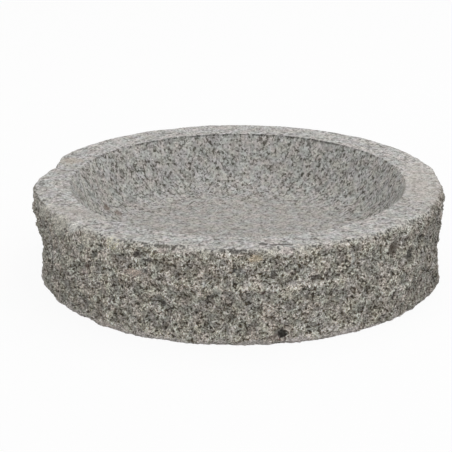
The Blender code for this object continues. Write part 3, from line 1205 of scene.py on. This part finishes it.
@dataclass(frozen=True)
class StainsAndPaintedLight:
    """How the stains, bruises and painted spots of light and shade lie on the stone. Lengths are in
    millimetres, as theirs are.

    A spot covers a place by an even ease of its distance, in reaches and made ragged by noise,
    from nothing at the first of the ends to all at the second.
    """

    flat: tuple[StainAndLightSpot, ...] = FLAT_STAINS_AND_LIGHT
    side: tuple[StainAndLightSpot, ...] = SIDE_STAINS_AND_LIGHT
    ends: tuple[float, float] = (1.10, 0.80)
    ragged_pitch: float = 2.4
    flat_ragged: float = 1.8
    side_ragged: float = 0.6
    least_light: float = 0.15

    def layer(self, points: np.ndarray) -> np.ndarray:
        """The side's small stains, bruises and painted spots of light and shade at each point, each laid
        over those before it.

        Args:
            points: Places on the surface in metres, shape (n, 3).

        Returns:
            The colour times its share, and the share, shape (n, 4).
        """
        layer = np.zeros((len(points), 4))
        ragged = self.side_ragged * LATTICE.noise(points, self.ragged_pitch * MM)
        start, full = self.ends
        for spot in self.side:
            far = np.linalg.norm((points / MM - spot.middle) / spot.reach, axis=1) + ragged
            near = np.clip((start - far) / (start - full), 0, 1)
            share = (spot.strength * near**2 * (3 - 2 * near))[:, None]
            layer += share * ((*spot.colour, 1.0) - layer)
        return layer

    def over(self, fabric: "Fabric", colour: Signal) -> Signal:
        """The colour under all the stains and painted spots: the flat ones, then the side's layer.

        Args:
            fabric: The stone's place, noises and crystals.
            colour: The clean colour.

        Returns:
            The stained colour.
        """
        tree = fabric.tree
        ragged = self.flat_ragged * (tree.noise(fabric.place, self.ragged_pitch, 3.0) - 0.5)
        light = self.least_light + fabric.grains
        for spot in self.flat:
            way = tree.vector("SUBTRACT", fabric.place, spot.middle)
            shares = tree.vector("MULTIPLY", way, tuple(1 / reach for reach in spot.reach))
            near = (tree.vector("LENGTH", shares, output=1) + ragged).ramp(*self.ends)
            colour = tree.mix(spot.strength * near, colour, tree.scaled(spot.colour, light))
        stain = tree.node("ShaderNodeAttribute", {"attribute_name": "stain"}, {})
        laid = tree.scaled(Signal(tree, stain.outputs["Color"]), light)
        bare = tree.scaled(colour, 1.0 - Signal(tree, stain.outputs["Alpha"]))
        return tree.vector("ADD", bare, laid)


# The granite


class Mineral(Enum):
    """Reflectance of each mineral of the granite."""

    MICA = (0.088, 0.084, 0.078)
    SMOKY_QUARTZ = (0.290, 0.287, 0.279)
    QUARTZ = (0.410, 0.405, 0.395)
    FELDSPAR = (0.523, 0.517, 0.509)
    CREAM_FELDSPAR = (0.535, 0.523, 0.506)


@dataclass(frozen=True)
class Finish:
    """What a way of working the stone does to its colour and surface. The turned wall's and the split face's
    also hold painted light and shade.
    """

    tint: tuple[float, float, float]
    contrast: float
    grit: float


SAWN = Finish((1.27, 1.250, 1.228), 1.04, 0.20)
# The turned wall is tinted darker than the turned floor: painted shade on the bowl's sloping wall.
TURNED_WALL_WITH_PAINTED_SHADE = Finish((1.064, 1.057, 1.022), 1.22, 0.16)
TURNED_FLOOR = Finish((1.12, 1.091, 1.060), 0.90, 0.16)
# The split finish is lighter and more contrasty than the sawn one: partly the paler crushed grains of a
# broken face, partly painted light making up for the weaker light on the upright side.
SPLIT_WITH_PAINTED_LIGHT = Finish((1.385, 1.328, 1.185), 1.36, 0.34)


@dataclass(frozen=True)
class Sparkle:
    """How unevenly bright the crystals of a face are.

    The level is a crystal's light with nothing added. The rest say how strongly its own tone, its
    breaks, which are painted light and shade of its broken facets, fine speckle, mottle and broad
    clouds show.
    """

    level: float
    tone: float
    face: float
    speckle: float
    mottle: float
    cloud: float


CUT_SPARKLE = Sparkle(level=0.90, tone=0.20, face=0.0, speckle=0.45, mottle=0.45, cloud=0.14)
# On the split face the breaks are painted light and shade of its broken facets.
SPLIT_SPARKLE = Sparkle(level=0.35, tone=0.45, face=0.85, speckle=2.0, mottle=0.22, cloud=0.28)


@dataclass(frozen=True)
class Cast:
    """A slight tint that comes and goes in clouds, from the first colour to the second."""

    apart: tuple[float, float, float]
    pitch: float
    span: tuple[float, float]
    first: tuple[float, float, float]
    second: tuple[float, float, float]


COOL_TO_WARM = Cast((0.0, 0.0, 0.0), 13.0, (0.38, 0.62), (0.982, 1.0, 1.018), (1.022, 1.0, 0.976))
GREEN_TO_PINK = Cast((5.0, 60.0, 9.0), 9.0, (0.40, 0.60), (0.987, 1.012, 0.990), (1.016, 0.986, 1.004))


class Fabric:
    """The place in millimetres, and the noises and crystals that all the finishes share.

    Each crystal is a cell of a warped mosaic, with random numbers of its own. The grains are the
    brightness of the smallest ones, about 1.
    """

    def __init__(self, tree: Tree, granite: "Granite") -> None:
        """Adds the nodes.

        Args:
            tree: The material's nodes.
            granite: The sizes of the grain.
        """
        self.tree = tree
        self.place = tree.scaled(tree.signal("ShaderNodeTexCoord", {}, {}, "Object"), 1 / MM)
        stray = tree.vector("SUBTRACT", tree.noise(self.place, granite.warp_pitch, output=1), (0.5,) * 3)
        self.warped = tree.vector("ADD", self.place, tree.scaled(stray, 2 * granite.warp))
        self.speckle = tree.noise(self.place, granite.speckle_pitch, 3.0) - 0.5
        self.mottle = tree.noise(self.place, granite.mottle_pitch) - 0.5
        self.cloud = tree.noise(self.place, granite.cloud_pitch) - 0.5
        self.crystals = tree.cells(self.warped, granite.face_grain)
        self.pick, self.tone = tree.parts(self.crystals)[:2]
        self.face = tree.parts(tree.cells(self.warped, granite.break_grain))[0]
        level, face, speckle = granite.grain_light
        self.grains = level + face * self.face + speckle * self.speckle

    def lit(self, sparkle: Sparkle, colour: Signal, tone: Signal) -> Signal:
        """The crystals with their uneven light.

        Args:
            sparkle: How unevenly bright they are.
            colour: The colour of each crystal.
            tone: The brightness of each crystal.

        Returns:
            The colour times the light.
        """
        own = sparkle.level + sparkle.tone * tone + sparkle.face * self.face
        broad = 1.0 + sparkle.mottle * self.mottle + sparkle.cloud * self.cloud
        return self.tree.scaled(colour, broad * (own + sparkle.speckle * self.speckle))


@dataclass(frozen=True)
class Granite:
    """Medium-grained grey granite with dark mica and a few cream grains, in three finishes, with painted
    light and shade in its colour.

    Lengths are in millimetres. A span gives where a change starts and where it is complete.
    """

    grain: float = 2.0
    face_grain: float = 1.6
    break_grain: float = 0.95
    grit_pitch: float = 1.1
    warp: float = 1.4
    warp_pitch: float = 2.4
    speckle_pitch: float = 0.95
    mottle_pitch: float = 7.0
    cloud_pitch: float = 34.0
    grain_light: tuple[float, float, float] = (0.30, 0.90, 1.2)
    minerals: tuple[tuple[float, Mineral], ...] = (
        (0.00, Mineral.SMOKY_QUARTZ),
        (0.14, Mineral.SMOKY_QUARTZ),
        (0.30, Mineral.QUARTZ),
        (0.46, Mineral.QUARTZ),
        (0.62, Mineral.FELDSPAR),
        (0.88, Mineral.FELDSPAR),
        (0.97, Mineral.CREAM_FELDSPAR),
    )
    mean: tuple[float, float, float] = (0.395, 0.392, 0.377)
    gain_hue: float = 0.15
    darkest: tuple[float, float, float] = (0.046, 0.041, 0.034)
    mica_apart: tuple[float, float, float] = (37.0, 11.0, 5.0)
    mica_grain: float = 2.7
    mica_mottle: float = 0.20
    mica_span: tuple[float, float] = (0.45, 0.38)
    mica_share: float = 0.88
    plate_grain: float = 2.5
    plate_foliation: tuple[float, float, float] = (1.0, 1.0, 0.5)
    plate_mottle: float = 0.30
    plate_span: tuple[float, float] = (0.48, 0.36)
    plate_share: float = 0.80
    # Painted shade in the split face's hollows, and painted light where it stands proud.
    hollow_span: tuple[float, float] = (-1.1, 1.3)
    painted_proud_light: float = 1.21
    painted_hollow_shade: float = 0.57
    # Painted shade at the flanks of the split face.
    painted_flank_shade_strength: float = 0.36
    lip_pitch: float = 4.5
    lip_span: tuple[float, float] = (0.28, 0.62)
    lip_shade: float = 0.60
    crushed: tuple[float, float, float] = (0.86, 0.84, 0.77)
    crush_pitch: float = 1.9
    crush_span: tuple[float, float] = (0.80, 0.94)
    # Painted shadows of the rim's chips, as dark flecks.
    chip_shadow_pitch: float = 3.2
    chip_shadow_span: tuple[float, float] = (0.91, 0.99)
    # These three serve both the crushed grains and the painted chip shadows.
    bruise_and_shadow_share: float = 0.5
    bruise_and_shadow_ragged: float = 0.9
    bruise_and_shadow_cover: float = 0.80
    # Painted light along the foot, for light bounced from the white floor: these settle its colour, grain,
    # patches and cover.
    painted_foot_light: tuple[float, float, float] = (1.0, 0.93, 0.89)
    fringe_pitch: float = 2.0
    fringe_ragged: float = 1.9
    fringe_span: tuple[float, float] = (0.32, 0.46)
    fringe_light: tuple[float, float] = (0.02, 1.15)
    fringe_cover: float = 0.90
    patch_pitch: float = 20.0
    patch_span: tuple[float, float] = (0.38, 0.62)
    patch_share: float = 0.66
    foot_span: tuple[float, float] = (0.72, 1.0)
    foot_share: float = 0.22
    plane_share: float = 0.8
    roughness: float = 0.88
    mica_gloss: float = 0.25
    face_gloss: float = 0.1

    def material(self) -> bpy.types.Material:
        """The granite.

        Each crystal takes its mineral from its own random number. Mica lies in ragged flecks where
        a noise is low. Each finish spreads the colours about their mean by its contrast and tints
        them. Painted light and shade are worked into the colour, and the stains are laid over all.

        Returns:
            The material.
        """
        tree = Tree.material("granite")
        fabric = Fabric(tree, self)
        fleck = tree.noise(tree.vector("ADD", fabric.place, self.mica_apart), self.mica_grain)
        mica = (fleck + self.mica_mottle * fabric.mottle).ramp(*self.mica_span)
        colour = tree.mix(tree.attribute("split"), self.cut_face(fabric), self.split_face(fabric, mica))
        for cast in (COOL_TO_WARM, GREEN_TO_PINK):
            clouds = tree.noise(tree.vector("ADD", fabric.place, cast.apart), cast.pitch, 3.0)
            tint = tree.mix(clouds.ramp(*cast.span), cast.first, cast.second)
            colour = tree.mix(1.0, colour, tint, "MULTIPLY")
        colour = self.worn_and_shaded_edges(fabric, colour)
        colour = self.paint_foot_light(fabric, colour)
        shader = tree.signal("ShaderNodeBsdfPrincipled", {}, {
            "Base Color": StainsAndPaintedLight().over(fabric, colour),
            "Roughness": self.roughness - self.mica_gloss * mica - self.face_gloss * fabric.tone,
            "Normal": self.relief(fabric),
        })
        tree.finish(shader)
        return tree.made

    def mineral(self, tree: Tree, pick: Signal) -> Signal:
        """The mineral's colour for each crystal's random number."""
        stops = tuple((place, mineral.value) for place, mineral in self.minerals)
        return tree.signal("ShaderNodeValToRGB", {"stops": stops}, {0: pick})

    def cut_face(self, fabric: Fabric) -> Signal:
        """The sawn and turned faces, where mica lies in plates drawn out level. The bowl's wall is tinted
        darker: painted shade.

        Args:
            fabric: The stone's place, noises and crystals.

        Returns:
            The colour.
        """
        tree = fabric.tree
        pick, tone = tree.parts(tree.cells(fabric.warped, self.grain))[:2]
        drawn = tree.vector("MULTIPLY", fabric.warped, self.plate_foliation)
        plate = tree.noise(drawn, self.plate_grain, 3.0) + self.plate_mottle * fabric.mottle
        even = fabric.lit(CUT_SPARKLE, self.mineral(tree, pick), tone)
        even = tree.mix(self.plate_share * plate.ramp(*self.plate_span), even, Mineral.MICA.value)
        floor, wall, sawn = (self.finished(tree, even, way) for way in (TURNED_FLOOR, TURNED_WALL_WITH_PAINTED_SHADE, SAWN))
        bowl = tree.mix(tree.attribute("wall"), floor, wall)
        return tree.mix(tree.attribute("turned"), sawn, bowl)

    def split_face(self, fabric: Fabric, mica: Signal) -> Signal:
        """The split face, with painted shade in its hollows and at its flanks.

        Args:
            fabric: The stone's place, noises and crystals.
            mica: Where the flecks of mica are.

        Returns:
            The colour.
        """
        tree = fabric.tree
        broken = fabric.lit(SPLIT_SPARKLE, self.mineral(tree, fabric.pick), fabric.tone)
        broken = tree.mix(self.mica_share * mica, broken, Mineral.MICA.value)
        # Painted shade: darker where the face lies below its surroundings, lighter where it stands proud.
        hollow = tree.attribute("hollow").ramp(*self.hollow_span)
        shade = self.painted_proud_light - self.painted_hollow_shade * hollow
        # Painted shade at both flanks, where less light falls on the side.
        shade = shade * (1.0 - self.painted_flank_shade_strength * tree.attribute("flank"))
        return tree.scaled(self.finished(tree, broken, SPLIT_WITH_PAINTED_LIGHT), shade)

    def worn_and_shaded_edges(self, fabric: Fabric, colour: Signal) -> Signal:
        """The broken dark line under the mouth, the rim's crushed grains, and painted shadows of its chips
        as dark flecks.

        Args:
            fabric: The stone's place, noises and crystals.
            colour: The colour so far.

        Returns:
            The colour with these.
        """
        tree = fabric.tree
        lip = tree.attribute("lip") * tree.noise(fabric.place, self.lip_pitch, 3.0)
        colour = tree.scaled(colour, 1.0 - self.lip_shade * lip.ramp(*self.lip_span))
        bruise = self.bruise_and_shadow_share * tree.attribute("bruise")
        crush = bruise + self.bruise_and_shadow_ragged * tree.noise(fabric.place, self.crush_pitch)
        colour = tree.mix(self.bruise_and_shadow_cover * crush.ramp(*self.crush_span), colour, self.crushed)
        # Painted shadows of the arris's chips, as dark flecks.
        painted_chip_shadow = bruise + self.bruise_and_shadow_ragged * tree.noise(fabric.warped, self.chip_shadow_pitch)
        return tree.mix(self.bruise_and_shadow_cover * painted_chip_shadow.ramp(*self.chip_shadow_span), colour, Mineral.MICA.value)

    def paint_foot_light(self, fabric: Fabric, colour: Signal) -> Signal:
        """Painted light along the foot, in pale patches, for light bounced from the white floor.

        Args:
            fabric: The stone's place, noises and crystals.
            colour: The colour so far.

        Returns:
            The colour with the painted light.
        """
        tree = fabric.tree
        foot = tree.attribute("foot")
        patches = tree.noise(fabric.place, self.patch_pitch).ramp(*self.patch_span)
        low = self.patch_share * foot * patches + self.foot_share * foot.ramp(*self.foot_span)
        painted_foot_light = low + self.fringe_ragged * (tree.noise(fabric.place, self.fringe_pitch) - 0.5)
        least, by_grain = self.fringe_light
        pale = tree.scaled(self.painted_foot_light, least + by_grain * fabric.grains)
        return tree.mix(self.fringe_cover * painted_foot_light.ramp(*self.fringe_span), colour, pale)

    def relief(self, fabric: Fabric) -> Signal:
        """The fine relief: each crystal of the split face is a small plane of its own tilt.

        A plane's height is the way from its crystal's middle times the tilt. Grit lies over all.

        Args:
            fabric: The stone's place, noises and crystals.

        Returns:
            The bumped normal.
        """
        tree = fabric.tree
        tilt = tree.vector("SUBTRACT", Signal(tree, fabric.crystals.outputs["Color"]), (0.5,) * 3)
        way = tree.vector("SUBTRACT", fabric.warped, Signal(tree, fabric.crystals.outputs["Position"]))
        plane = tree.vector("DOT_PRODUCT", way, tilt, output=1)
        grit = tree.noise(fabric.place, self.grit_pitch, 3.0)
        cut = (SAWN.grit + (TURNED_WALL_WITH_PAINTED_SHADE.grit - SAWN.grit) * tree.attribute("turned")) * grit
        split = tree.attribute("split")
        height = split * (self.plane_share * plane + SPLIT_WITH_PAINTED_LIGHT.grit * grit) + (1 - split) * cut
        return tree.signal("ShaderNodeBump", {}, {"Strength": 1.0, "Distance": MM, "Height": height})

    def finished(self, tree: Tree, colour: Signal, finish: Finish) -> Signal:
        """The colour in a finish: tint * mean + gain * (colour - mean).

        The gain is the contrast times a greyer tint, so that dark grains are as warm as light ones.

        Args:
            tree: The material's nodes.
            colour: The colour of the minerals.
            finish: The finish.

        Returns:
            The finished colour.
        """
        grey = sum(finish.tint) / 3
        gain = tuple(finish.contrast * grey * (t / grey) ** self.gain_hue for t in finish.tint)
        lift = tuple((t - g) * m for t, g, m in zip(finish.tint, gain, self.mean))
        spread = tree.vector("MULTIPLY_ADD", colour, gain, lift)
        return tree.vector("MAXIMUM", spread, self.darkest)


# Studio


@dataclass(frozen=True)
class Studio:
    """A pale floor, a soft room, one broad lamp overhead and the camera.

    The camera aims at the rim's middle. Lens and sensor are in millimetres, and the picture's
    width and shift are in pixels.
    """

    room_strength: float = 0.72
    room_front: float = 0.36
    lamp_strength: float = 0.28
    lamp_side: float = 1.3
    lamp_place: tuple[float, float, float] = (0.42, 0.22, 1.50)
    room_front_way: tuple[float, float, float] = (0.15, -1.0, 0.0)
    floor_points: int = 96
    floor_radius: float = 8.0
    floor_reflectance: float = 0.50
    shadow_share: float = 0.14
    camera_tilt: float = math.radians(17.82)
    camera_distance: float = 1.70
    aim_height: float = Block.height
    lens: float = 137.15
    sensor: float = 36.0
    picture_width: int = 452
    picture_shift: tuple[float, float] = (-11.9, -45.55)

    def build(self) -> None:
        """Sets the stage."""
        self.room()
        self.floor()
        self.lamp()
        self.camera()
        bpy.context.scene.view_settings.view_transform = "Standard"
        log.info("studio: room, floor, lamp and camera")

    def room(self) -> None:
        """A soft room, brighter in front than behind, that is seen as white."""
        world = bpy.data.worlds.new("room")
        bpy.context.scene.world = world
        tree = Tree(world, "ShaderNodeOutputWorld")
        direction = tree.signal("ShaderNodeTexCoord", {}, {}, "Generated")
        ahead = tree.vector("DOT_PRODUCT", direction, self.room_front_way, output=1)
        light = self.room_strength + self.room_strength * self.room_front * ahead
        strength = light + self.seen(tree) * (1.0 - light)
        tree.finish(tree.signal("ShaderNodeBackground", {}, {"Strength": strength}))

    @staticmethod
    def seen(tree: Tree) -> Signal:
        """1 for rays that show a thing itself or its mirror image, and 0 for those that light it.

        Args:
            tree: The nodes to add to.

        Returns:
            The mask.
        """
        paths = tree.node("ShaderNodeLightPath", {}, {})
        rays = ("Is Camera Ray", "Is Glossy Ray", "Is Transmission Ray")
        camera, glossy, through = (Signal(tree, paths.outputs[ray]) for ray in rays)
        return (camera + glossy + through).clipped()

    def floor(self) -> None:
        """A round floor that looks white and keeps a soft shadow."""
        outline = ring_point(self.floor_radius, round_angles(self.floor_points), 0.0)
        mesh = bpy.data.meshes.new("floor")
        mesh.from_pydata(outline, [], [list(range(self.floor_points))])
        tree = Tree.material("floor_white")
        lit = self.floor_reflectance * (self.room_strength + self.lamp_strength)
        glow = (1.0 - self.shadow_share * lit) / (1 - self.shadow_share)
        diffuse = tree.signal("ShaderNodeBsdfDiffuse", {}, {"Color": (self.floor_reflectance,) * 3})
        emission = tree.signal("ShaderNodeEmission", {}, {"Color": (1.0, 1.0, 1.0), "Strength": glow})
        values = {0: (1 - self.shadow_share) * self.seen(tree), 1: diffuse, 2: emission}
        tree.finish(tree.signal("ShaderNodeMixShader", {}, values))
        mesh.materials.append(tree.made)
        floor = bpy.data.objects.new("floor", mesh)
        bpy.context.scene.collection.objects.link(floor)

    def lamp(self) -> None:
        """A broad square lamp overhead, behind the stone and to its right.

        Its power gives the wanted share of full light on a level surface under it: strength times
        (pi * distance)^2 over the cosine of its way from straight down.
        """
        place = np.array(self.lamp_place)
        distance = float(np.linalg.norm(place))
        fall = place[2] / distance
        light = bpy.data.lights.new("overhead", "AREA")
        light.shape = "SQUARE"
        light.size = self.lamp_side
        light.energy = self.lamp_strength * (math.pi * distance) ** 2 / fall
        made = bpy.data.objects.new("overhead", light)
        made.location = self.lamp_place
        made.rotation_euler = (
            math.atan2(math.hypot(place[0], place[1]), place[2]),
            0.0,
            math.atan2(place[1], place[0]) + math.pi / 2,
        )
        bpy.context.scene.collection.objects.link(made)

    def camera(self) -> None:
        """The camera at the photograph's place, in front of the rim's middle and above it."""
        tilt, distance = self.camera_tilt, self.camera_distance
        lens = bpy.data.cameras.new("camera")
        lens.lens = self.lens
        lens.sensor_width = self.sensor
        lens.shift_x, lens.shift_y = (pixels / self.picture_width for pixels in self.picture_shift)
        made = bpy.data.objects.new("camera", lens)
        made.location = (0.0, -distance * math.cos(tilt), self.aim_height + distance * math.sin(tilt))
        made.rotation_euler = (math.pi / 2 - tilt, 0.0, 0.0)
        bpy.context.scene.collection.objects.link(made)
        bpy.context.scene.camera = made


def main() -> None:
    """Builds the stone and its studio."""
    logging.basicConfig(level=logging.INFO, format="%(message)s")
    Trough().build()
    Studio().build()


if __name__ == "__main__":
    main()
